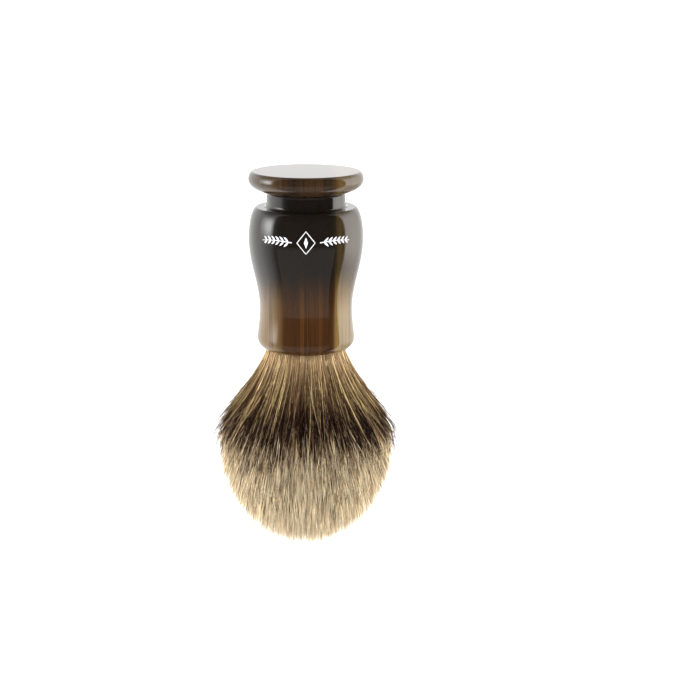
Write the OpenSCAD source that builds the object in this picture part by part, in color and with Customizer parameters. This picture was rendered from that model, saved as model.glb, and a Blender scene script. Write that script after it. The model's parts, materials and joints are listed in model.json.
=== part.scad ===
// Shaving brush: a turned resin handle with a knot of hair set in its socket.
// It is drawn hanging, with the hair down and the foot up.
// The origin is the centre of the neck groove that a stand's fork takes.
// All heights in the sections below are distances down from the foot's flat face,
// except in the knot sections, where they are measured from the mouth of the socket.

/* [Foot disc] */
// Greatest diameter of the foot disc
foot_d = 32.6; // [31:0.1:34]
// Diameter of the foot's flat face
foot_face_d = 29.8; // [26:0.1:30]
// Drop to the widest part of the foot disc
foot_widest_at = 2.2; // [1.5:0.1:3]
// Drop to the lowest point that the disc's rounded underside heads for
foot_t = 6.0; // [5.5:0.1:6.5]
// How far in from the rim the underside's rounding would run
foot_under_run = 7.0; // [6:0.1:8]

/* [Neck] */
// Diameter of the neck in the groove
neck_d = 22.4; // [20:0.1:24]
// Drop to the middle of the neck groove
neck_at = 7.9; // [7.8:0.1:8.2]
// Radius of the fillets at both ends of the neck
neck_fillet = 0.8; // [0.4:0.1:1]

/* [Body] */
// Diameter of the flat ledge at the top of the shoulder
shoulder_d = 27.6; // [26:0.1:29]
// Drop to the shoulder's ledge
shoulder_at = 10.0; // [9.8:0.1:10.6]
// Diameter of the bulb
bulb_d = 32.6; // [30:0.1:35]
// Drop to the bulb's widest part
bulb_at = 19.0; // [17:0.1:21]
// Diameter of the waist
waist_d = 26.6; // [26.2:0.1:29]
// Drop to the waist
waist_at = 39.1; // [37:0.1:41]
// Diameter of the lip
lip_d = 28.0; // [27.4:0.1:30]
// Drop to the widest part of the lip
lip_at = 47.5; // [46:0.1:48]
// Length of the handle
handle_h = 50.6; // [50:0.1:52]
// Width of the flat rim around the mouth
mouth_rim_w = 0.35; // [0.2:0.05:0.6]

/* [Socket] */
// Bore of the socket
socket_d = 22.2; // [21.4:0.1:22.6]
// Depth of the socket
socket_depth = 15; // [14.5:0.1:18]
// Number of grooves cut in the socket wall to key the adhesive
key_grooves = 2; // [0:1:3]
// Depth of each keying groove
key_groove_depth = 0.4; // [0.2:0.1:0.6]
// Width of each keying groove
key_groove_w = 1.0; // [0.6:0.1:1.4]

/* [Knot plug] */
// Diameter of the cured resin plug
plug_d = 21.3; // [21.1:0.1:21.3]
// Depth of the plug's edge inside the mouth
plug_edge_at = 1.4; // [1:0.1:1.8]
// Depth at which the plug's rounded end starts
plug_end_at = 11.5; // [11:0.1:11.8]
// Length of the plug's rounded end
plug_end_h = 2.6; // [2:0.1:2.8]
// Diameter of the bundle of glued roots
root_d = 19.6; // [19:0.1:19.6]
// Depth of the cut ends of the roots
root_end_at = 11.0; // [10:0.1:11]
// Thickness of the binding cord
cord_d = 0.5; // [0.4:0.05:0.5]
// Turns of cord round the roots
cord_turns = 4; // [3:1:6]

/* [Hair] */
// Free length of the hair, from the mouth to the tip of the dome
loft = 56.5; // [50:0.5:60]
// Diameter of the dome
dome_d = 50.8; // [44:0.1:54]
// Distance from the mouth to the widest part of the dome
dome_at = 27.1; // [24:0.1:30]
// Angle at which the outer hair leaves the mouth
flare_angle = 20; // [16:1:24]
// Radius round the bending point inside which the hair stays still
still_r = 14.7; // [14.7:0.1:16]

/* [Hidden] */

$fn = 96;
joint_gap = 0.02;    // clearance between glued pieces
still_gap = 0.3;     // gap between the still and the moving hair
hair_gap = 0.05;     // clearance of the hair in the mouth
arc_steps = 28;      // segments in each rounded stretch of an outline
fillet_steps = 8;    // segments in each neck fillet
dimple_h = 0.8;      // drill point left in the socket's floor
dimple_r = 2.0;
taper_h = 1.6;       // length over which the roots open out to the plug's edge
cord_pitch = 0.56;   // advance of the cord in one turn
cord_start_at = 4.5; // depth of the cord's first turn
cord_sides = 8;
cord_steps_per_turn = 28;
bulb_pull = 7.4;     // how far the outline runs straight past the bulb
waist_pull_up = 7.2; // and above and below the waist, and above the lip
waist_pull_down = 3.6;
lip_pull = 0.9;
flare_pull = 11;     // how far the hair keeps its first angle
dome_pull = 7.5;     // how far it runs straight above the dome's widest part

foot_r = foot_d / 2;
neck_r = neck_d / 2;
socket_r = socket_d / 2;
plug_r = plug_d / 2;
root_r = root_d / 2;
dome_r = dome_d / 2;
mouth_z = neck_at - handle_h;
groove_bottom_r = socket_r + key_groove_depth;
groove_pitch = 3.2;
first_groove_at = 4.4;
hair_mouth_r = socket_r - hair_gap;
cord_ring_r = (root_r + joint_gap) / cos(180 / cord_steps_per_turn) + cord_d / 2;
cord_room_r = cord_ring_r + cord_d / 2 + joint_gap;
cord_room_start = cord_start_at - cord_d / 2 - joint_gap;
cord_room_end = cord_start_at + cord_turns * cord_pitch + cord_d / 2 + joint_gap;

// Height of a point a given drop below the foot's face
function drop(h) = neck_at - h;

// Height of a point a given depth inside the socket's mouth
function depth(d) = mouth_z + d;

// Points of an ellipse's arc about [x, z]
function arc(x, z, a, b, from, to, steps = arc_steps) =
    [for (i = [0 : steps]) let (t = from + (to - from) * i / steps) [x + a * cos(t), z + b * sin(t)]];

// Points of a cubic curve from p to q, with its pulls along u at p and along v at q
function curve(p, u, q, v, steps = arc_steps) =
    [for (i = [0 : steps])
        let (t = i / steps, s = 1 - t)
        s * s * s * p + 3 * s * s * t * (p + u) + 3 * s * t * t * (q + v) + t * t * t * q];

// Walls of the keying grooves, met while going into the socket
function groove_walls(wall_r, bottom_r, w) =
    [for (i = [0 : key_grooves - 1], step = [0 : 3])
        let (d = first_groove_at + i * groove_pitch + (step < 2 ? -w / 2 : w / 2))
        [(step == 0 || step == 3) ? wall_r : bottom_r, depth(d)]];

// Angle on the underside's rounding at which the upper fillet of the neck starts
under_centre_r = foot_r - foot_under_run;
under_end = acos((neck_r + neck_fillet - under_centre_r) / foot_under_run);
under_h = foot_t - foot_widest_at;

foot_outline = concat(
    [[0, neck_at]],
    arc(foot_face_d / 2, drop(foot_widest_at), foot_r - foot_face_d / 2, foot_widest_at, 90, 0),
    arc(under_centre_r, drop(foot_widest_at), foot_under_run, -under_h, 0, under_end)
);

neck_top_z = drop(foot_widest_at + under_h * sin(under_end)) - neck_fillet;
neck_outline = concat(
    arc(neck_r + neck_fillet, neck_top_z, neck_fillet, neck_fillet, 90, 180, fillet_steps),
    arc(neck_r + neck_fillet, drop(shoulder_at) + neck_fillet, neck_fillet, neck_fillet, 180, 270, fillet_steps)
);

body_outline = concat(
    arc(shoulder_d / 2, drop(bulb_at), (bulb_d - shoulder_d) / 2, bulb_at - shoulder_at, 90, 0),
    curve([bulb_d / 2, drop(bulb_at)], [0, -bulb_pull], [waist_d / 2, drop(waist_at)], [0, waist_pull_up]),
    curve([waist_d / 2, drop(waist_at)], [0, -waist_pull_down], [lip_d / 2, drop(lip_at)], [0, lip_pull]),
    arc(socket_r + mouth_rim_w, drop(lip_at), lip_d / 2 - socket_r - mouth_rim_w, lip_at - handle_h, 0, 90)
);

socket_outline = concat(
    [[socket_r, mouth_z]],
    groove_walls(socket_r, groove_bottom_r, key_groove_w),
    [[socket_r, depth(socket_depth)], [dimple_r, depth(socket_depth)], [0, depth(socket_depth + dimple_h)]]
);

// The roots open out from the plug to the mouth
root_outline = [
    [0, depth(root_end_at)],
    [root_r, depth(root_end_at)],
    [root_r, depth(plug_edge_at + taper_h)],
    [plug_r - joint_gap, depth(plug_edge_at)],
    [hair_mouth_r, mouth_z]
];

// Outline of the free hair, from the mouth round the dome to its tip
flare_outline = concat(
    curve([hair_mouth_r, mouth_z], flare_pull * [sin(flare_angle), -cos(flare_angle)],
          [dome_r, depth(-dome_at)], [0, dome_pull]),
    arc(0, depth(-dome_at), dome_r, -(loft - dome_at), 0, 90)
);

module handle() {
    color([0.20, 0.14, 0.09])
    rotate_extrude()
    polygon(concat(foot_outline, neck_outline, body_outline, socket_outline));
}

// Cured adhesive: a thin cup that fills the socket round the plug
module socket_adhesive() {
    outer_r = socket_r - joint_gap;
    inner_r = plug_r + joint_gap;
    floor_at = socket_depth - joint_gap;
    color([0.82, 0.72, 0.45])
    rotate_extrude()
    polygon(concat(
        [[inner_r, depth(plug_edge_at)], [outer_r, depth(plug_edge_at)]],
        groove_walls(outer_r, groove_bottom_r - joint_gap, key_groove_w - 2 * joint_gap),
        [[outer_r, depth(floor_at)], [0, depth(floor_at)]],
        arc(0, depth(plug_end_at), inner_r, plug_end_h + joint_gap, 90, 0)
    ));
}

// Resin plug that the roots are cast in, with room inside it for the cord
module knot_plug() {
    inner_r = root_r + joint_gap;
    color([0.70, 0.60, 0.38])
    rotate_extrude()
    polygon(concat(
        [[plug_r, depth(plug_edge_at)]],
        arc(0, depth(plug_end_at), plug_r, plug_end_h, 0, 90),
        [
            [0, depth(root_end_at + joint_gap)],
            [inner_r, depth(root_end_at + joint_gap)],
            [inner_r, depth(cord_room_end)],
            [cord_room_r, depth(cord_room_end)],
            [cord_room_r, depth(cord_room_start)],
            [inner_r, depth(cord_room_start)],
            [inner_r, depth(plug_edge_at + taper_h)]
        ]
    ));
}

// Point on the cord's skin: k counts steps along it and j counts round it
function cord_point(k, j) =
    let (
        turn = 360 * k / cord_steps_per_turn,
        side = 360 * j / cord_sides,
        r = cord_ring_r + cord_d / 2 * cos(side)
    )
    [
        r * cos(turn),
        r * sin(turn),
        depth(cord_start_at + cord_pitch * k / cord_steps_per_turn) + cord_d / 2 * sin(side)
    ];

// Waxed cord wound round the roots as one coil
module binding_cord() {
    rings = cord_turns * cord_steps_per_turn;
    points = [for (k = [0 : rings], j = [0 : cord_sides - 1]) cord_point(k, j)];
    sides = [for (k = [0 : rings - 1], j = [0 : cord_sides - 1])
        let (n = (j + 1) % cord_sides)
        [
            k * cord_sides + j,
            (k + 1) * cord_sides + j,
            (k + 1) * cord_sides + n,
            k * cord_sides + n
        ]];
    start_cap = [for (j = [0 : cord_sides - 1]) j];
    end_cap = [for (j = [cord_sides - 1 : -1 : 0]) rings * cord_sides + j];
    color([0.86, 0.84, 0.78])
    polyhedron(points, concat([start_cap], sides, [end_cap]), convexity = 4);
}

// Still part of the hair: the glued roots and the short stiff length at the mouth
module hair_root() {
    color([0.62, 0.52, 0.36])
    union() {
        rotate_extrude()
        polygon(concat(root_outline, [[0, mouth_z]]));
        intersection() {
            rotate_extrude()
            polygon(concat([[0, mouth_z]], flare_outline));
            translate([0, 0, mouth_z])
            sphere(r = still_r - still_gap);
        }
    }
}

// Free hair that bends about the centre of the mouth
module hair_loft() {
    color([0.78, 0.68, 0.50])
    difference() {
        rotate_extrude()
        polygon(concat([[0, mouth_z]], flare_outline));
        translate([0, 0, mouth_z])
        sphere(r = still_r);
    }
}

handle();
socket_adhesive();
knot_plug();
binding_cord();
hair_root();
hair_loft();
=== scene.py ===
"""Looks of the shaving brush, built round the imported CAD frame: a streaked horn-resin
handle and a knot of separate hairs. Lengths are in metres; MM turns millimetres into them."""

import json
import math

import bpy
import numpy as np
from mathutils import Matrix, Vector

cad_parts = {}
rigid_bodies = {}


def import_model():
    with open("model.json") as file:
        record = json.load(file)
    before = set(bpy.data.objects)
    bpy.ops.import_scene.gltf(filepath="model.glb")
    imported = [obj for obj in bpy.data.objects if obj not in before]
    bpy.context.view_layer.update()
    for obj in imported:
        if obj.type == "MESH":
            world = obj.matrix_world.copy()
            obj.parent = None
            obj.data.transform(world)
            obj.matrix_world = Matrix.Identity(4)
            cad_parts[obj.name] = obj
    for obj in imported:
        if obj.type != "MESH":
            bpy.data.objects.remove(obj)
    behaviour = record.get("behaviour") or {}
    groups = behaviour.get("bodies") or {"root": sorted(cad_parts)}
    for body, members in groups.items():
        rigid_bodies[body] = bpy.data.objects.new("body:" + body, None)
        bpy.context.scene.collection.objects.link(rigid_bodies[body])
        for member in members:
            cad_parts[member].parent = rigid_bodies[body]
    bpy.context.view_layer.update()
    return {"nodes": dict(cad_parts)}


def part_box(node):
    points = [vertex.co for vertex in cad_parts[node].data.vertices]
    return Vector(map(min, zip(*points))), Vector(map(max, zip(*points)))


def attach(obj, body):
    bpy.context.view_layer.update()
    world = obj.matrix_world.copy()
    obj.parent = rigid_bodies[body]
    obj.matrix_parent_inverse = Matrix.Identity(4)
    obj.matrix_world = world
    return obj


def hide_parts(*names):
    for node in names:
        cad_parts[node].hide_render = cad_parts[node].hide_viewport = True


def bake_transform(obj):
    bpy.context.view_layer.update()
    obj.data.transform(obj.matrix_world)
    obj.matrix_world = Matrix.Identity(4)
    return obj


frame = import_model()

MM = 0.001
HANDLE_BODY = "brush_handle"

# ---------------------------------------------------------------- sizes, from the frame
handle_low, handle_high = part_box("handle")
loft_low, loft_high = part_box("hair_loft")
FOOT_Z = handle_high.z       # the flat face of the foot, uppermost as the brush hangs
MOUTH_Z = handle_low.z       # the open end of the socket, where the hair comes out
DOME_R = loft_high.x
LOFT = MOUTH_Z - loft_low.z

MOUTH_R = 10.9 * MM          # radius of the hair where it leaves the socket
DENSE_R = DOME_R - 1.8 * MM  # radius of the closely packed hair, inside the loose tips
DOME_AT = 27.1 * MM          # depth of the dome's widest part below the mouth
ROOT_INSIDE = 3.0 * MM       # how far the drawn hair goes up into the socket

rng = np.random.default_rng(7)


def srgb(r, g, b):
    """A linear colour from display values between 0 and 1."""
    def linear(c):
        return c / 12.92 if c <= 0.04045 else ((c + 0.055) / 1.055) ** 2.4
    return (linear(r), linear(g), linear(b), 1.0)


def grey(value):
    """A grey of a linear strength."""
    return (value, value, value, 1.0)


def linked(name, data):
    """A new object in the scene, for a mesh, a lamp or a camera."""
    piece = bpy.data.objects.new(name, data)
    bpy.context.scene.collection.objects.link(piece)
    return piece


# ---------------------------------------------------------------- hair: the shape of the knot
def flank_table():
    """Depths and radii of the knot's flank, from the mouth to the dome's widest part."""
    angle = math.radians(20)
    first_pull = 14.0 * MM
    last_pull = 5.0 * MM
    p0 = np.array([MOUTH_R, 0.0])
    p1 = p0 + first_pull * np.array([math.sin(angle), math.cos(angle)])
    p3 = np.array([DENSE_R, DOME_AT])
    p2 = p3 - np.array([0.0, last_pull])
    t = np.linspace(0, 1, 80)[:, None]
    s = 1 - t
    points = s ** 3 * p0 + 3 * s * s * t * p1 + 3 * s * t * t * p2 + t ** 3 * p3
    return points[:, 1], points[:, 0]


FLANK_DEPTH, FLANK_R = flank_table()
FREE_FROM = 19.5 * MM        # below this depth the outermost hair runs on, bending back a little
BEND_BACK = 9.0              # how strongly it bends back, per metre run on
DEPTHS = np.linspace(-ROOT_INSIDE, LOFT * 1.1, 700)


def spread_table():
    """How far out the outermost hair would run at each depth, if the dome didn't end it."""
    r = np.interp(DEPTHS, FLANK_DEPTH, FLANK_R)
    at = np.searchsorted(DEPTHS, FREE_FROM)
    slope = (r[at] - r[at - 4]) / (DEPTHS[at] - DEPTHS[at - 4])
    past = np.clip(DEPTHS - FREE_FROM, 0, None)
    bending = r[at] + slope * past * (1 - BEND_BACK * past)
    return np.where(DEPTHS > FREE_FROM, bending, r)


SPREAD = spread_table()


def envelope(depth):
    """Radius of the knot's outer surface at a depth below the mouth."""
    flank = np.interp(depth, FLANK_DEPTH, FLANK_R)
    x = np.clip((depth - DOME_AT) / (LOFT - DOME_AT), 0, 1)
    return np.where(depth > DOME_AT, DENSE_R * np.sqrt(1 - x * x), flank)


def tip_depth_table():
    """For hairs from the centre of the knot (0) to its edge (1), the depth at which each ends."""
    shares = np.linspace(0, 1, 120)
    depths = []
    surface = envelope(DEPTHS)
    for share in shares:
        outside = (share * SPREAD > surface + 0.02 * MM) & (DEPTHS > FREE_FROM)
        outside |= DEPTHS > LOFT
        depths.append(DEPTHS[np.argmax(outside)])
    return shares, np.array(depths)


TIP_SHARE, TIP_DEPTH = tip_depth_table()

# ---------------------------------------------------------------- hair: colour along a strand
TONES = 96                   # columns of the tone map, one tone each
PALE_SHARE = 0.06            # the lowest tones are pale hairs with no dark band
BAND_V = (0.30, 0.62)        # where the dark band starts and ends in the tone map
BAND_AT = 18.1 * MM          # depth at which the dark band starts on most hairs
BAND_VARIES = 1.7 * MM
BAND_LIMITS = (12.0 * MM, 23.0 * MM)
BAND_SHORTEST = 1.0 * MM
SIDE_SHIFT = 4.2 * MM        # how much lower the dark band starts at the knot's sides
SIDE_SHIFT_END = 1.05        # how much lower it ends there, as a share of that

# Length of light tip on hairs that end at these depths.
LIGHT_AT = np.array([16.0, 21.0, 23.0, 26.0, 30.0, 36.0, 45.0, 56.0]) * MM
LIGHT_LENGTH = np.array([0.3, 0.6, 1.6, 3.4, 4.9, 7.2, 13.0, 18.0]) * MM
LIGHT_VARIES = 0.62          # spread of the logarithm of that length
LIGHT_LONGEST = 21.0 * MM


def tone_map_v(run, length, ends, sideways):
    """Place in the tone map for points a distance run along strands of the given lengths.
    sideways is 0 for strands at the knot's front, back and middle and 1 at its left and right."""
    count = len(length)
    lower = SIDE_SHIFT * sideways
    band_start = np.clip(BAND_AT + rng.normal(0, BAND_VARIES, count), *BAND_LIMITS) + lower
    light = np.interp(ends - SIDE_SHIFT_END * lower, LIGHT_AT, LIGHT_LENGTH)
    light = np.minimum(light * np.exp(rng.normal(0, LIGHT_VARIES, count)), LIGHT_LONGEST)
    band_end = np.maximum(length - light, band_start + BAND_SHORTEST)
    start = band_start[:, None]
    stop = band_end[:, None]
    end = np.maximum(length[:, None], stop + 0.2 * MM)
    low, high = BAND_V
    root_part = low * run / start
    band_part = low + (high - low) * (run - start) / (stop - start)
    tip_part = high + (1 - high) * (run - stop) / (end - stop)
    v = np.where(run < start, root_part, np.where(run < stop, band_part, tip_part))
    return np.clip(v, 0.0, 1.0)


def tone_columns(tone, pale):
    """A tone map column for each strand, keeping the lowest columns for the pale ones."""
    count = len(tone)
    rank = np.argsort(np.argsort(tone)) / count
    spot = np.where(pale, rng.random(count) * PALE_SHARE, PALE_SHARE + (1 - PALE_SHARE) * rank)
    return np.clip((spot * TONES).astype(int), 0, TONES - 1)


# ---------------------------------------------------------------- hair: strands as closed tubes
SIDES = 3
ROOT_WIDTH = 0.60            # width of a strand at the mouth, as a share of its full width
FULL_WIDTH_AT = 18.0 * MM    # depth at which it reaches its full width
TIP_WIDTH = 0.10             # its width at the last ring before the point, as a share of its full width


def strand_faces(rings):
    """Quads and triangles of one tube: its rings, its pointed tip and the cap at its root.
    Each corner also gives its ring and how far round it is, for the tone map."""
    quads, quad_spots, tris, tri_spots = [], [], [], []
    for a in range(rings - 1):
        for j in range(SIDES):
            n = (j + 1) % SIDES
            quads.append([a * SIDES + j, a * SIDES + n, (a + 1) * SIDES + n, (a + 1) * SIDES + j])
            quad_spots.append([(a, j), (a, j + 1), (a + 1, j + 1), (a + 1, j)])
    last = (rings - 1) * SIDES
    for j in range(SIDES):
        tris.append([last + j, last + (j + 1) % SIDES, rings * SIDES])
        tri_spots.append([(rings - 1, j), (rings - 1, j + 1), (rings, j)])
    tris.append([2, 1, 0])
    tri_spots.append([(0, 2), (0, 1), (0, 0)])
    return np.array(quads), np.array(quad_spots), np.array(tris), np.array(tri_spots)


def strand_mesh(name, centre, thick, taper, v, column):
    """One mesh of separate closed tubes along the centre lines, tapering over a length at their tips.
    v is each ring's place along the tone map and column is each strand's place across it."""
    count, points, _ = centre.shape
    rings = points - 1
    along = np.gradient(centre, axis=1)
    along /= np.linalg.norm(along, axis=2, keepdims=True)
    out = centre * np.array([1.0, 1.0, 0.0]) + np.array([1e-6, 0, 0])
    side = np.cross(along, out)
    side /= np.linalg.norm(side, axis=2, keepdims=True)
    up = np.cross(along, side)

    steps = np.linalg.norm(np.diff(centre, axis=1), axis=2)
    to_tip = np.concatenate([np.cumsum(steps[:, ::-1], 1)[:, ::-1], np.zeros((count, 1))], 1)
    depth = MOUTH_Z - centre[:, :, 2]
    fine_root = np.interp(depth, [0.0, FULL_WIDTH_AT], [ROOT_WIDTH, 1.0])
    radius = thick[:, None] / 2 * fine_root * np.clip(to_tip / taper, TIP_WIDTH, 1.0)
    corner = 2 * math.pi * np.arange(SIDES) / SIDES + rng.random(count)[:, None] * 2 * math.pi
    ring = (side[:, :, None, :] * np.cos(corner)[:, None, :, None]
            + up[:, :, None, :] * np.sin(corner)[:, None, :, None])
    tube = (centre[:, :, None, :] + radius[..., None, None] * ring)[:, :-1]
    tube = tube.reshape(count, rings * SIDES, 3)
    vertices = np.concatenate([tube, centre[:, -1:, :]], 1)

    quads, quad_spots, tris, tri_spots = strand_faces(rings)
    first = (np.arange(count) * (rings * SIDES + 1))[:, None, None]
    loops = np.concatenate([(quads[None] + first).ravel(), (tris[None] + first).ravel()])

    def tone_places(spots):
        flat = spots.reshape(-1, 2)
        u = (column[:, None] + 0.05 + 0.9 * flat[None, :, 1] / SIDES) / TONES
        return np.stack([u, v[:, flat[:, 0]]], -1).reshape(-1, 2)

    quad_count = len(quads) * count
    tri_count = len(tris) * count
    starts = np.concatenate([np.arange(quad_count) * 4, quad_count * 4 + np.arange(tri_count) * 3])

    mesh = bpy.data.meshes.new(name)
    mesh.vertices.add(vertices.shape[0] * vertices.shape[1])
    mesh.vertices.foreach_set("co", vertices.astype(np.float32).ravel())
    mesh.loops.add(len(loops))
    mesh.loops.foreach_set("vertex_index", loops.astype(np.int32))
    mesh.polygons.add(quad_count + tri_count)
    mesh.polygons.foreach_set("loop_start", starts.astype(np.int32))
    mesh.polygons.foreach_set("use_smooth", np.ones(quad_count + tri_count, bool))
    layer = mesh.uv_layers.new(name="OFBake")
    places = np.concatenate([tone_places(quad_spots), tone_places(tri_spots)])
    layer.data.foreach_set("uv", places.astype(np.float32).ravel())
    mesh.update(calc_edges=True)
    mesh.validate()
    return linked(name, mesh)


# ---------------------------------------------------------------- hair: the knot's strands
CLUMPS = 2400
CLUMP_DRIFTS = 0.40 * MM     # how far a clump's tips drift from their straight course
TIDY_DRIFTS = 0.35 * MM      # how far most strands drift on their own
LOOSE_DRIFTS = 0.95 * MM     # how far the looser ones do
LOOSE_SHARE = 0.35
CLUMP_TONE_SHARE = 0.25      # how far a strand's tone follows its clump's

# For hairs that end at these depths, how far the longest stand out and how unevenly they end.
TIPS_AT = np.array([20.0, 28.0, 38.0, 57.0]) * MM
LONGEST = np.array([1.2, 2.8, 4.6, 3.6]) * MM
UNEVEN = np.array([0.7, 1.4, 2.0, 2.0]) * MM
OUTER_LONGER = 6.0 * MM      # how much longer the outermost strands are than the depth they reach
LYING_SHARE = 0.13           # strands that bend to lie along the knot's surface
LYING_TO = 42.0 * MM         # strands that end below this depth run straight out
LYING_OVER = 0.5 * MM        # how far above the surface they may lie

STRAND_WIDTH = 0.22 * MM
TAPER = 9.0 * MM             # length over which a strand narrows to its tip
PALE_WIDTH = 0.50            # width of a pale strand, as a share of the others'
STRAY_WIDTH = 0.14 * MM
STRAY_TAPER = 5.0 * MM
STAND_OFF = 1.6 * MM         # how far the loose strands' tips stand off the surface, past the least
STAND_OFF_LEAST = 0.7 * MM
STAND_OFF_MOST = 4.6 * MM
SLANT = 3.0 * MM             # how far their tips stray sideways
STRAY_LONGER = 5.0 * MM      # how much longer a loose strand is than the depth it reaches
STRAY_PALE_SHARE = 0.22


def round_scatter(count, low, high):
    """Points spread evenly over a ring between two shares of the knot's radius."""
    share = np.sqrt(rng.uniform(low ** 2, high ** 2, count))
    turn = rng.random(count) * 2 * math.pi
    return share, np.column_stack([share * np.cos(turn), share * np.sin(turn)])


_, CLUMP_XY = round_scatter(CLUMPS, 0.0, 1.0)
CLUMP_DRIFT = rng.normal(0, CLUMP_DRIFTS, (CLUMPS, 2))
CLUMP_TONE = rng.random(CLUMPS)


def nearest_clump(xy):
    """Index of the clump that each root belongs to."""
    index = np.empty(len(xy), int)
    for start in range(0, len(xy), 2000):
        part = xy[start:start + 2000]
        far = ((part[:, None, :] - CLUMP_XY[None]) ** 2).sum(2)
        index[start:start + 2000] = far.argmin(1)
    return index


def ripples(count, grown):
    """Small sideways waves, growing from root to tip."""
    size = rng.uniform(0.05, 0.22, (count, 1)) * MM * (0.35 + 0.65 * grown)
    phase = rng.random((count, 1)) * 2 * math.pi
    bends = rng.uniform(1.0, 2.4, (count, 1))
    heading = rng.random((count, 1)) * 2 * math.pi
    wave = size * np.sin(phase + bends * grown * 2 * math.pi)
    return np.stack([wave * np.cos(heading), wave * np.sin(heading)], -1)


def laid_down(xy, depth, lying):
    """Hold the lying strands to the knot's surface, so that they run along it to their tips."""
    limit = envelope(depth) + rng.uniform(0.0, LYING_OVER, (len(lying), 1))
    reach = np.linalg.norm(xy, axis=2)
    held = np.minimum(1.0, limit / np.maximum(reach, 0.01 * MM))
    return xy * np.where(lying[:, None], held, 1.0)[..., None]


def knot_hair(name, count, share_low, share_high, rings, reach):
    """Strands whose roots lie between two shares of the knot's radius, drawn in together by clumps.
    reach is how far back from its tip a strand is drawn; None draws it from the socket."""
    share, root = round_scatter(count, share_low, share_high)
    clump = nearest_clump(root)
    ends = np.interp(share, TIP_SHARE, TIP_DEPTH)
    lying = (rng.random(count) < LYING_SHARE) & (ends < LYING_TO)
    shorter = np.interp(ends, TIPS_AT, UNEVEN) * rng.exponential(1.0, count)
    ends = ends * (1 + rng.normal(0, 0.010, count)) + np.interp(ends, TIPS_AT, LONGEST) - shorter
    ends = ends + np.where(lying, rng.uniform(2.0, 6.5, count) * MM, 0)
    starts = np.full(count, -ROOT_INSIDE) if reach is None else ends - reach
    depth = starts[:, None] + (ends - starts)[:, None] * np.linspace(0, 1, rings + 1)
    grown = np.clip(depth / ends[:, None], 0, 1)

    pull = rng.uniform(0.05, 0.32, (count, 1)) * grown ** 2.5
    xy = root[:, None, :] * (1 - pull)[..., None] + CLUMP_XY[clump][:, None, :] * pull[..., None]
    xy = xy * np.interp(depth, DEPTHS, SPREAD)[..., None]
    own = np.where(rng.random((count, 1)) < LOOSE_SHARE, LOOSE_DRIFTS, TIDY_DRIFTS)
    drift = CLUMP_DRIFT[clump] + rng.normal(0, 1, (count, 2)) * own
    xy = xy + drift[:, None, :] * (grown ** 2)[..., None] + ripples(count, grown)
    xy = laid_down(xy, depth, lying)
    centre = np.dstack([xy, MOUTH_Z - depth])

    length = ends + share * OUTER_LONGER
    v = tone_map_v(depth / ends[:, None] * length[:, None], length, ends, root[:, 0] ** 2)
    pale = rng.random(count) < PALE_SHARE
    tone = CLUMP_TONE_SHARE * CLUMP_TONE[clump] + (1 - CLUMP_TONE_SHARE) * rng.random(count)
    thick = STRAND_WIDTH * np.clip(np.exp(rng.normal(0, 0.3, count)), 0.55, 1.7)
    thick = thick * np.where(pale, PALE_WIDTH, 1.0)
    return strand_mesh(name, centre, thick, TAPER, v, tone_columns(tone, pale))


def stray_hair(name, count, rings):
    """Loose outer strands that leave the knot's surface at their own slant."""
    turn = rng.random(count) * 2 * math.pi
    begins = rng.uniform(-ROOT_INSIDE, 11.0 * MM, count)
    ends = rng.uniform(17.0, 34.0, count) * MM
    k = np.linspace(0, 1, rings + 1)[None, :]
    depth = begins[:, None] + (ends - begins)[:, None] * k
    stand_off = np.minimum(rng.exponential(STAND_OFF, count) + STAND_OFF_LEAST, STAND_OFF_MOST)
    outward = stand_off[:, None] * k ** 2
    sideways = rng.normal(0, SLANT, count)[:, None] * k ** 1.5
    inside = np.minimum(np.interp(depth, DEPTHS, SPREAD), envelope(depth) + 0.3 * MM)
    r = inside * 0.995 + outward
    angle = turn[:, None] + sideways / np.maximum(r, 5 * MM)
    centre = np.dstack([r * np.cos(angle), r * np.sin(angle), MOUTH_Z - depth])
    length = ends + STRAY_LONGER
    v = tone_map_v(depth / ends[:, None] * length[:, None], length, ends, np.cos(turn) ** 2)
    pale = rng.random(count) < STRAY_PALE_SHARE
    thick = STRAY_WIDTH * rng.uniform(0.7, 1.2, count)
    return strand_mesh(name, centre, thick, STRAY_TAPER, v, tone_columns(rng.random(count), pale))


def knot_core():
    """A closed solid of matted hair just inside the outer hairs, ending a little short of the tip."""
    turns = 96
    waves = 24
    short = 6 * MM
    depths = np.concatenate([[-ROOT_INSIDE * 0.9], np.linspace(0, LOFT - short, 44)])
    below = np.clip(depths, 0, None)
    inside = envelope(below) - 0.8 * MM - 0.14 * below
    scaled = envelope(np.clip(depths * LOFT / (LOFT - short), 0, LOFT))
    radii = np.maximum(np.minimum(inside, scaled * 0.9), 0.01 * MM)
    vertices = []
    for depth, r in zip(depths, radii):
        for turn in range(turns):
            angle = 2 * math.pi * turn / turns
            ripple = r * (1 + 0.012 * math.sin(angle * waves))
            vertices.append((ripple * math.cos(angle), ripple * math.sin(angle), MOUTH_Z - depth))
    faces = []
    for i in range(len(depths) - 1):
        for j in range(turns):
            k = (j + 1) % turns
            faces.append((i * turns + k, i * turns + j, (i + 1) * turns + j, (i + 1) * turns + k))
    faces.append(tuple(range(turns)))
    faces.append(tuple(reversed(range((len(depths) - 1) * turns, len(depths) * turns))))
    mesh = bpy.data.meshes.new("knot_core")
    mesh.from_pydata(vertices, [], faces)
    mesh.polygons.foreach_set("use_smooth", np.ones(len(mesh.polygons), bool))
    mesh.update()
    return linked("knot_core", mesh)


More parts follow.
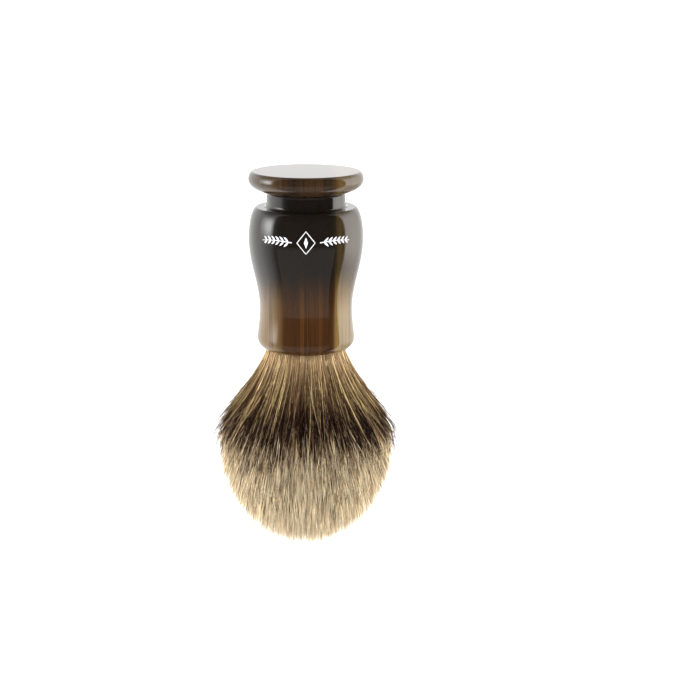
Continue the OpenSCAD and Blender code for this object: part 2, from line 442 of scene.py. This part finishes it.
# ---------------------------------------------------------------- shader helpers
class Nodes:
    """A short way to write a node tree."""

    def __init__(self, tree):
        self.tree = tree

    def put(self, node, key, value):
        if isinstance(value, bpy.types.NodeSocket):
            self.tree.links.new(value, node.inputs[key])
        else:
            node.inputs[key].default_value = value

    def add(self, kind, inputs=None, **settings):
        node = self.tree.nodes.new(kind)
        for key, value in settings.items():
            setattr(node, key, value)
        for key, value in (inputs or {}).items():
            self.put(node, key, value)
        return node

    def math(self, operation, a, b=0.0, c=0.0):
        return self.add("ShaderNodeMath", {0: a, 1: b, 2: c}, operation=operation).outputs[0]

    def mix(self, factor, a, b, blend="MIX"):
        node = self.add("ShaderNodeMix", data_type="RGBA", blend_type=blend)
        self.put(node, 0, factor)
        self.put(node, 6, a)
        self.put(node, 7, b)
        return node.outputs[2]

    def ramp(self, value, stops):
        node = self.add("ShaderNodeValToRGB", {0: value})
        ramp = node.color_ramp
        while len(ramp.elements) < len(stops):
            ramp.elements.new(1.0)
        for element, (at, colour) in zip(ramp.elements, stops):
            element.position = at
            element.color = colour
        return node.outputs[0]

    def smooth(self, value, low, high):
        """0 below low, 1 above high, smooth between."""
        inputs = {0: value, 1: low, 2: high}
        return self.add("ShaderNodeMapRange", inputs, interpolation_type="SMOOTHSTEP").outputs[0]

    def position(self):
        """Object coordinates, whole and as x, y and z."""
        at = self.add("ShaderNodeTexCoord").outputs["Object"]
        split = self.add("ShaderNodeSeparateXYZ", {0: at})
        return at, split.outputs[0], split.outputs[1], split.outputs[2]

    def noise(self, at, stretch, scale, detail):
        """Noise with its x, y and z stretched by different amounts."""
        drawn = self.add("ShaderNodeVectorMath", {0: at, 1: stretch}, operation="MULTIPLY")
        inputs = {"Vector": drawn.outputs[0], "Scale": scale, "Detail": detail}
        return self.add("ShaderNodeTexNoise", inputs).outputs[0]


def new_material(name):
    """A material, its node tree and its Principled shader."""
    material = bpy.data.materials.new(name)
    material.use_nodes = True
    nodes = Nodes(material.node_tree)
    shader = material.node_tree.nodes["Principled BSDF"]
    return material, nodes, shader


# ---------------------------------------------------------------- materials
def hair_material():
    """Colour along each hair from its tone map place: u picks the tone and v runs root to tip."""
    material, n, shader = new_material("badger_hair")
    place = n.add("ShaderNodeUVMap", uv_map="OFBake").outputs[0]
    split = n.add("ShaderNodeSeparateXYZ", {0: place})
    u, v = split.outputs[0], split.outputs[1]
    column = n.math("FLOOR", n.math("MULTIPLY", u, TONES))
    kind = n.add("ShaderNodeTexWhiteNoise", {"W": column}, noise_dimensions="1D").outputs[0]
    shifted = n.math("ADD", column, 301.0)
    shade = n.add("ShaderNodeTexWhiteNoise", {"W": shifted}, noise_dimensions="1D").outputs[0]
    banded = n.ramp(v, [
        (0.00, srgb(0.80, 0.70, 0.55)),
        (0.08, srgb(0.64, 0.54, 0.40)),
        (0.18, srgb(0.53, 0.43, 0.31)),
        (0.27, srgb(0.41, 0.31, 0.22)),
        (0.33, srgb(0.14, 0.085, 0.065)),
        (0.60, srgb(0.12, 0.075, 0.06)),
        (0.67, srgb(0.50, 0.41, 0.31)),
        (0.76, srgb(0.94, 0.85, 0.68)),
        (1.00, srgb(1.00, 0.95, 0.82)),
    ])
    brown = n.ramp(v, [
        (0.00, srgb(0.66, 0.53, 0.37)),
        (0.10, srgb(0.42, 0.32, 0.22)),
        (0.22, srgb(0.34, 0.245, 0.17)),
        (0.34, srgb(0.19, 0.11, 0.08)),
        (0.60, srgb(0.19, 0.11, 0.08)),
        (0.74, srgb(0.68, 0.54, 0.39)),
        (1.00, srgb(0.98, 0.89, 0.73)),
    ])
    dark_tipped = n.ramp(v, [
        (0.00, srgb(0.52, 0.41, 0.29)),
        (0.18, srgb(0.26, 0.19, 0.14)),
        (0.34, srgb(0.11, 0.07, 0.055)),
        (0.80, srgb(0.17, 0.115, 0.09)),
        (0.92, srgb(0.50, 0.40, 0.31)),
        (1.00, srgb(0.90, 0.80, 0.64)),
    ])
    pale = n.ramp(v, [
        (0.00, srgb(0.90, 0.79, 0.57)),
        (0.25, srgb(0.85, 0.75, 0.53)),
        (0.38, srgb(0.62, 0.52, 0.38)),
        (0.58, srgb(0.60, 0.50, 0.38)),
        (0.70, srgb(0.92, 0.83, 0.66)),
        (1.00, srgb(1.00, 0.95, 0.82)),
    ])
    colour = n.mix(n.math("GREATER_THAN", kind, 0.62), banded, brown)
    colour = n.mix(n.math("LESS_THAN", kind, 0.30), colour, dark_tipped)
    colour = n.mix(n.math("LESS_THAN", u, PALE_SHARE), colour, pale)
    strength = n.math("MULTIPLY_ADD", n.math("MULTIPLY", shade, shade), 0.95, 0.50)
    # Towards their tips the hairs come nearer to one strength.
    even = n.math("MULTIPLY", n.smooth(v, 0.70, 0.95), 0.45)
    strength = n.add("ShaderNodeMix", {0: even, 2: strength, 3: 0.84}).outputs[0]
    scale = n.add("ShaderNodeCombineXYZ", {0: strength, 1: strength, 2: strength}).outputs[0]
    colour = n.mix(1.0, colour, scale, "MULTIPLY")
    n.tree.links.new(colour, shader.inputs["Base Color"])
    shader.inputs["Roughness"].default_value = 0.45
    shader.inputs["Specular IOR Level"].default_value = 0.05
    return material


def core_material():
    """Matted hair seen between the outer hairs: the hairs' own band colours, painted darker as shade
    deep in the knot, with painted shade in dark streaks between strands.
    """
    material, n, shader = new_material("hair_core_painted_shade")
    at, _, _, z = n.position()
    strand_gap_streak = n.noise(at, (1.0, 1.0, 0.05), 2200.0, 2.0)
    down = n.math("DIVIDE", n.math("SUBTRACT", MOUTH_Z, z), LOFT)
    # The hairs' band colours from root to tip, dimmed as painted shade of the knot's inside.
    shaded_band_colour = n.ramp(down, [
        (0.00, srgb(0.50, 0.41, 0.28)),
        (0.18, srgb(0.30, 0.23, 0.16)),
        (0.25, srgb(0.12, 0.09, 0.07)),
        (0.45, srgb(0.14, 0.105, 0.08)),
        (0.65, srgb(0.36, 0.29, 0.22)),
        (1.00, srgb(0.58, 0.49, 0.37)),
    ])
    # Painted shade between strands: where the streak noise is low, the colour goes three fifths of the
    # way to near black.
    colour = n.mix(n.smooth(strand_gap_streak, 0.35, 0.65), n.mix(0.6, shaded_band_colour, srgb(0.10, 0.09, 0.08)), shaded_band_colour)
    n.tree.links.new(colour, shader.inputs["Base Color"])
    shader.inputs["Roughness"].default_value = 0.9
    return material


def horn_material():
    """Polished imitation horn: black-brown shading to amber, laid in upright sheets."""
    material, n, shader = new_material("horn_resin")
    at, x, y, z = n.position()
    down = n.math("SUBTRACT", FOOT_Z, z)
    sheet = (1.0, 0.12, 0.012)
    broad = n.noise(at, sheet, 340.0, 1.0)
    lines = n.noise(at, sheet, 950.0, 1.5)
    fine = n.noise(at, sheet, 2600.0, 1.0)

    # Black-brown shades to amber over a wavering height; the foot is amber again.
    waver = n.math("MULTIPLY_ADD", lines, 1.0 * MM, -0.5 * MM)
    waver = n.math("MULTIPLY_ADD", n.math("SUBTRACT", broad, 0.5), 2.6 * MM, waver)
    amber = n.smooth(n.math("ADD", down, waver), 25.5 * MM, 40.0 * MM)
    foot = n.math("SUBTRACT", 1.0, n.smooth(down, 4.6 * MM, 6.6 * MM))
    lit = n.math("MAXIMUM", amber, n.math("MULTIPLY", foot, 0.5))
    # Heights over which the painted reflection shows on each side, with a little on the foot.
    left_glow_height = n.smooth(n.math("ADD", down, waver), 28.0 * MM, 41.0 * MM)
    left_lit = n.math("MAXIMUM", left_glow_height, n.math("MULTIPLY", foot, 0.18))
    right_lit = n.math("MAXIMUM", amber, n.math("MULTIPLY", foot, 0.2))
    # Painted reflection: from these distances from the middle, along x and a little along y, the left
    # and right sides are painted paler. They stand for the bright sides of the room mirrored in the
    # resin, golden where the horn beneath is amber.
    flank = n.math("ADD", x, n.math("MULTIPLY", y, 0.10))
    other_flank = n.math("MULTIPLY", flank, -1.0)
    right_painted_glow = n.smooth(n.math("MULTIPLY_ADD", broad, 2.5 * MM, flank), 7.4 * MM, 9.9 * MM)
    left_painted_glow = n.smooth(n.math("MULTIPLY_ADD", broad, 2.5 * MM, other_flank), 8.0 * MM, 12.2 * MM)
    # How strongly the painted reflection shows on the right and on the left.
    right_glow_amount = n.math("MULTIPLY", right_painted_glow, n.math("MULTIPLY_ADD", right_lit, 0.78, 0.17))
    left_glow_amount = n.math("MULTIPLY", left_painted_glow, n.math("MULTIPLY", left_lit, 0.80))

    # Each layer of colour goes over the last, and the dark lines go over them all.
    body = n.mix(amber, srgb(0.085, 0.070, 0.055), srgb(0.215, 0.13, 0.06))
    body = n.mix(foot, body, srgb(0.155, 0.115, 0.08))
    honey_most = n.math("MULTIPLY", lit, 0.36)
    honey_amount = n.math("MULTIPLY", n.smooth(broad, 0.44, 0.62), honey_most)
    body = n.mix(honey_amount, body, srgb(0.34, 0.215, 0.095))
    red_most = n.math("MULTIPLY_ADD", lit, 0.22, 0.04)
    red_amount = n.math("MULTIPLY", n.smooth(lines, 0.54, 0.70), red_most)
    body = n.mix(red_amount, body, srgb(0.25, 0.135, 0.07))
    # Painted reflection of the room's bright sides, on the right and then the left.
    body = n.mix(right_glow_amount, body, srgb(0.49, 0.395, 0.215))
    body = n.mix(left_glow_amount, body, srgb(0.46, 0.36, 0.21))
    bold_dark = n.math("SUBTRACT", 1.0, n.smooth(lines, 0.30, 0.44))
    body = n.mix(n.math("MULTIPLY", bold_dark, 0.60), body, srgb(0.075, 0.045, 0.030))
    thin_dark = n.math("SUBTRACT", 1.0, n.smooth(fine, 0.32, 0.46))
    body = n.mix(n.math("MULTIPLY", thin_dark, 0.30), body, srgb(0.09, 0.055, 0.035))
    n.tree.links.new(body, shader.inputs["Base Color"])
    shader.inputs["IOR"].default_value = 1.53
    shader.inputs["Roughness"].default_value = 0.045
    return material


def inner_material(name, colour, roughness):
    """Adhesive, plug and cord inside the socket."""
    material, n, shader = new_material(name)
    at, _, _, _ = n.position()
    mottle = n.noise(at, (1.0, 1.0, 1.0), 900.0, 3.0)
    dim = tuple(c * 0.6 for c in colour[:3]) + (1.0,)
    tint = n.mix(n.smooth(mottle, 0.35, 0.65), dim, colour)
    n.tree.links.new(tint, shader.inputs["Base Color"])
    shader.inputs["Roughness"].default_value = roughness
    return material


def print_material():
    """Thin white printing ink, a little uneven."""
    material, n, shader = new_material("white_print")
    at, _, _, _ = n.position()
    wear = n.noise(at, (1.0, 1.0, 1.0), 3500.0, 2.0)
    tint = n.mix(n.smooth(wear, 0.30, 0.60), srgb(0.80, 0.80, 0.82), srgb(0.93, 0.93, 0.95))
    n.tree.links.new(tint, shader.inputs["Base Color"])
    shader.inputs["Roughness"].default_value = 0.45
    return material


# ---------------------------------------------------------------- printed ornament on the handle
PRINT_DOWN = 17.6 * MM       # depth of the ornament's middle below the foot face
PRINT_OVER = 0.035 * MM      # how far the ink stands proud


def handle_profile():
    """Heights and radii of the outside of the bulb, taken from the CAD handle."""
    points = np.array([v.co for v in frame["nodes"]["handle"].data.vertices])
    r = np.hypot(points[:, 0], points[:, 1])
    outside = (r > 13.2 * MM) & (points[:, 2] < FOOT_Z - 11 * MM)
    order = np.argsort(points[outside, 2])
    return points[outside, 2][order], r[outside][order]


PROFILE_Z, PROFILE_R = handle_profile()


def wrapped(across, rise, over):
    """A point on the handle's front: across and rise are distances from the ornament's middle."""
    z = FOOT_Z - PRINT_DOWN + rise
    r = float(np.interp(z, PROFILE_Z, PROFILE_R))
    turn = across / r
    return ((r + over) * math.sin(turn), -(r + over) * math.cos(turn), z)


def ribbon(vertices, faces, line, widths, closed=False):
    """A flat strip of ink along a line of (across, rise) points, added to vertices and faces."""
    first = len(vertices)
    count = len(line)
    for i, (point, width) in enumerate(zip(line, widths)):
        before = line[(i - 1) % count] if closed else line[max(i - 1, 0)]
        after = line[(i + 1) % count] if closed else line[min(i + 1, count - 1)]
        run = np.array(after) - np.array(before)
        run = run / np.linalg.norm(run)
        half = np.array([-run[1], run[0]]) * width / 2
        for sign, over in ((1, PRINT_OVER), (-1, PRINT_OVER), (-1, -PRINT_OVER), (1, -PRINT_OVER)):
            vertices.append(wrapped(*(np.array(point) + sign * half), over))
    for i in range(count if closed else count - 1):
        a = first + 4 * i
        b = first + 4 * ((i + 1) % count)
        for j in range(4):
            k = (j + 1) % 4
            faces.append((a + j, a + k, b + k, b + j))
    if not closed:
        last = first + 4 * (count - 1)
        faces.append((first + 3, first + 2, first + 1, first))
        faces.append((last, last + 1, last + 2, last + 3))


def leaf(vertices, faces, start, heading, length, width):
    """A pointed leaf from start, heading in radians from straight across."""
    k = np.linspace(0, 1, 9)
    bend = heading + 0.35 * (k - 0.5) * math.copysign(1, math.sin(heading))
    steps = np.column_stack([np.cos(bend), np.sin(bend)]) * length / 8
    line = np.array(start) + np.concatenate([[[0, 0]], np.cumsum(steps, 0)[:-1]])
    ribbon(vertices, faces, line, np.maximum(width * np.sin(math.pi * k) ** 0.8, 0.04 * MM))


SPRIG_FROM = 3.9             # distances along a sprig from the ornament's middle, in millimetres
SPRIG_TO = 13.4
LEAF_PAIRS = 6


def sprig_rise(along):
    """Height of a sprig's gently arched stem, in millimetres."""
    return 0.35 * math.sin((along - SPRIG_FROM) / (SPRIG_TO - SPRIG_FROM) * math.pi)


def print_ornament():
    """A lozenge between two leafy sprigs."""
    vertices, faces = [], []
    corners = [(0, 3.1), (2.5, 0), (0, -3.1), (-2.5, 0)]
    outline = []
    for i, (x0, y0) in enumerate(corners):
        x1, y1 = corners[(i + 1) % 4]
        for step in range(6):
            t = step / 6
            outline.append(((x0 + (x1 - x0) * t) * MM, (y0 + (y1 - y0) * t) * MM))
    ribbon(vertices, faces, outline, [0.21 * MM] * len(outline), closed=True)
    k = np.linspace(-1, 1, 9)
    inner = [(0.0, 1.5 * MM * t) for t in k]
    ribbon(vertices, faces, inner, [(0.05 + 2.2 * (1 - abs(t)) / 2) * MM for t in k])
    for side in (-1, 1):
        reach = np.linspace(SPRIG_FROM, SPRIG_TO, 24)
        stem = [(side * a * MM, sprig_rise(a) * MM) for a in reach]
        ribbon(vertices, faces, stem, [(0.30 - 0.016 * (a - SPRIG_FROM)) * MM for a in reach])
        for pair in range(LEAF_PAIRS):
            a = SPRIG_FROM + 1.0 + 1.35 * pair
            start = (side * a * MM, sprig_rise(a) * MM)
            size = 1.9 - 0.11 * pair
            for turn in (0.75, -0.75):
                heading = turn if side > 0 else math.pi - turn
                leaf(vertices, faces, start, heading, size * MM, 0.52 * MM)
    mesh = bpy.data.meshes.new("print_ornament")
    mesh.from_pydata(vertices, [], faces)
    mesh.update()
    return linked("print_ornament", mesh)


def finish_hair(piece, material):
    """Give a piece of the knot its look, bake its placing into its mesh and hide the CAD hair that it
    stands in for.
    """
    piece.data.materials.append(material)
    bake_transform(piece)
    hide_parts("hair_root", "hair_loft")


hair_look = hair_material()
finish_hair(knot_core(), core_material())
for number in range(1, 7):
    finish_hair(knot_hair(f"hair_outer_{number}", 3700, 0.80, 1.0, 9, None), hair_look)
for number in range(1, 6):
    finish_hair(knot_hair(f"hair_dome_{number}", 4700, 0.0, 0.84, 7, 24 * MM), hair_look)
finish_hair(stray_hair("hair_stray", 2000, 10), hair_look)

ornament = print_ornament()
ornament.data.materials.append(print_material())
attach(ornament, HANDLE_BODY)

LOOKS = {
    "handle": horn_material(),
    "socket_adhesive": inner_material("adhesive", srgb(0.80, 0.66, 0.36), 0.3),
    "knot_plug": inner_material("plug_resin", srgb(0.68, 0.54, 0.30), 0.35),
    "binding_cord": inner_material("cord", srgb(0.86, 0.82, 0.72), 0.8),
}
for node_name, look in LOOKS.items():
    part = frame["nodes"][node_name]
    part.data.materials.clear()
    part.data.materials.append(look)

# ---------------------------------------------------------------- floor
FLOOR_Z = FOOT_Z - 130.6 * MM
FLOOR_HALF = 3.0


def pale_floor():
    """A wide pale sheet that glows a little, so that it meets the white backdrop without an edge."""
    mesh = bpy.data.meshes.new("floor")
    h = FLOOR_HALF
    corners = [(-h, -h, FLOOR_Z), (h, -h, FLOOR_Z), (h, h, FLOOR_Z), (-h, h, FLOOR_Z)]
    mesh.from_pydata(corners, [], [(0, 1, 2, 3)])
    sheet = linked("floor", mesh)
    look, _, shader = new_material("pale_floor")
    shader.inputs["Base Color"].default_value = grey(0.95)
    shader.inputs["Roughness"].default_value = 0.7
    shader.inputs["Emission Color"].default_value = grey(1.0)
    shader.inputs["Emission Strength"].default_value = 0.50
    mesh.materials.append(look)
    sheet.visible_glossy = False


pale_floor()

# ---------------------------------------------------------------- camera
CAMERA_AHEAD = 419.3 * MM
CAMERA_ABOVE = 56.2 * MM
OFF_CENTRE = 0.0629          # how far left of the middle the brush stands, as a share of the width
PITCH = math.radians(14.45)
SENSOR = 36.0
FOCAL_SHARE = 15 / 7         # focal length as a share of the sensor's width

camera_data = bpy.data.cameras.new("camera")
camera_data.sensor_width = SENSOR
camera_data.lens = SENSOR * FOCAL_SHARE
camera_data.shift_x = OFF_CENTRE
camera_data.clip_start = 0.01
camera = linked("camera", camera_data)
camera.location = (0, -CAMERA_AHEAD, FOOT_Z + CAMERA_ABOVE)
camera.rotation_euler = (math.pi / 2 - PITCH, 0, 0)
bpy.context.scene.camera = camera
bpy.context.scene.view_settings.view_transform = "Standard"


# ---------------------------------------------------------------- light
def studio_world():
    """A white cove behind and beside the object and a dark room in front of it, as the camera stands."""
    world = bpy.data.worlds.new("studio")
    world.use_nodes = True
    bpy.context.scene.world = world
    n = Nodes(world.node_tree)
    back = world.node_tree.nodes["Background"]
    way = n.add("ShaderNodeTexCoord").outputs["Generated"]
    up = n.add("ShaderNodeSeparateXYZ", {0: way}).outputs[2]
    to_camera = {"vector_type": "VECTOR", "convert_from": "WORLD", "convert_to": "CAMERA"}
    seen = n.add("ShaderNodeVectorTransform", {0: way}, **to_camera).outputs[0]
    plumb = n.add("ShaderNodeVectorTransform", {0: (0, 0, 1)}, **to_camera).outputs[0]
    seen_parts = n.add("ShaderNodeSeparateXYZ", {0: seen})
    right, forward = seen_parts.outputs[0], seen_parts.outputs[2]
    tilt = n.add("ShaderNodeSeparateXYZ", {0: plumb}).outputs[2]
    level_squared = n.math("SUBTRACT", 1.0, n.math("MULTIPLY", up, up))
    level = n.math("SQRT", n.math("MAXIMUM", level_squared, 0.0001))
    lean = n.math("SQRT", n.math("SUBTRACT", 1.0, n.math("MULTIPLY", tilt, tilt)))
    ahead = n.math("SUBTRACT", forward, n.math("MULTIPLY", tilt, up))
    # 0 is level towards the camera, 0.5 straight to the side and 1 level away from the camera.
    behind = n.math("MULTIPLY_ADD", n.math("DIVIDE", n.math("DIVIDE", ahead, lean), level), 0.5, 0.5)

    # What polished surfaces mirror, as a tenth of its strength.
    right_side = n.ramp(behind, [
        (0.000, grey(0.004)), (0.435, grey(0.006)), (0.475, grey(0.38)),
        (0.65, grey(0.32)), (0.85, grey(0.17)), (0.92, grey(0.155)), (1.0, grey(0.145)),
    ])
    below = n.math("MULTIPLY_ADD", n.smooth(up, -0.50, -0.18), 0.5, 0.5)
    right_side = n.mix(below, grey(0.0), right_side)
    left_side = n.ramp(behind, [
        (0.00, grey(0.004)), (0.22, grey(0.006)), (0.30, grey(0.03)), (0.40, grey(0.10)),
        (0.60, grey(0.18)), (0.85, grey(0.18)), (0.95, grey(0.15)), (1.00, grey(0.145)),
    ])
    lamp = n.ramp(behind, [
        (0.00, grey(0.0)), (0.31, grey(0.0)), (0.345, grey(0.35)), (0.39, grey(0.85)),
        (0.45, grey(0.80)), (0.50, grey(0.56)), (0.56, grey(0.28)), (0.65, grey(0.0)),
    ])
    lamp_height = n.math("MULTIPLY", n.smooth(up, -0.20, 0.13),
                         n.math("MULTIPLY_ADD", n.smooth(up, 0.15, 0.50), -0.8, 1.0))
    lamp = n.mix(lamp_height, grey(0.0), lamp)
    left_side = n.mix(1.0, left_side, lamp, "ADD")
    side = n.mix(n.math("GREATER_THAN", right, 0.0), left_side, right_side)
    room = n.math("MULTIPLY", side, 10.0)
    dim_above = n.math("MULTIPLY_ADD", n.smooth(up, 0.30, 0.75), -0.75, 1.0)
    room = n.math("MULTIPLY", room, dim_above)
    table = n.math("MULTIPLY", n.smooth(up, -0.19, -0.225), n.math("LESS_THAN", behind, 0.25))
    room = n.math("MULTIPLY_ADD", table, 0.35, room)

    rays = n.add("ShaderNodeLightPath")
    soft = n.math("MULTIPLY_ADD", n.smooth(behind, 0.2, 0.60), 1.60, 0.46)
    glow = n.add("ShaderNodeMix", {0: rays.outputs["Is Glossy Ray"], 2: soft, 3: room}).outputs[0]
    strength = n.add("ShaderNodeMix", {0: rays.outputs["Is Camera Ray"], 2: glow, 3: 1.05}).outputs[0]
    world.node_tree.links.new(strength, back.inputs["Strength"])
    back.inputs["Color"].default_value = grey(1.0)


def softbox(name, offset, width, height, watts, lit=None):
    """A lamp that moves with the camera; offset is right, up and towards the object.
    With lit, a collection, the lamp reaches only the pieces in it."""
    light = bpy.data.lights.new(name, "AREA")
    light.shape = "RECTANGLE"
    light.size = width
    light.size_y = height
    light.energy = watts
    lamp = linked(name, light)
    right, up, ahead = offset
    place = Vector((right, up, -ahead))
    target = Vector((0.0, 0.0, -CAMERA_AHEAD))
    lamp.parent = camera
    lamp.location = place
    lamp.rotation_euler = (target - place).to_track_quat("-Z", "Y").to_euler()
    lamp.visible_glossy = False
    if lit:
        lamp.light_linking.receiver_collection = lit


RIM_SIDE = 0.40              # how far to the side of the brush the two rim lamps stand, in metres
RIM_BEHIND = 0.17            # how far behind it

studio_world()
softbox("front_fill", (-0.12, 0.30, -0.52), 0.8, 0.8, 8.0)
hair_pieces = bpy.data.collections.new("hair_pieces")
for piece in bpy.context.scene.collection.objects:
    if piece.name.startswith(("hair_outer", "hair_dome", "hair_stray")):
        hair_pieces.objects.link(piece)
for name, side in (("left_rim", -1), ("right_rim", 1)):
    offset = (side * RIM_SIDE, -0.04, CAMERA_AHEAD + RIM_BEHIND)
    softbox(name, offset, 0.25, 0.60, 11.0, hair_pieces)
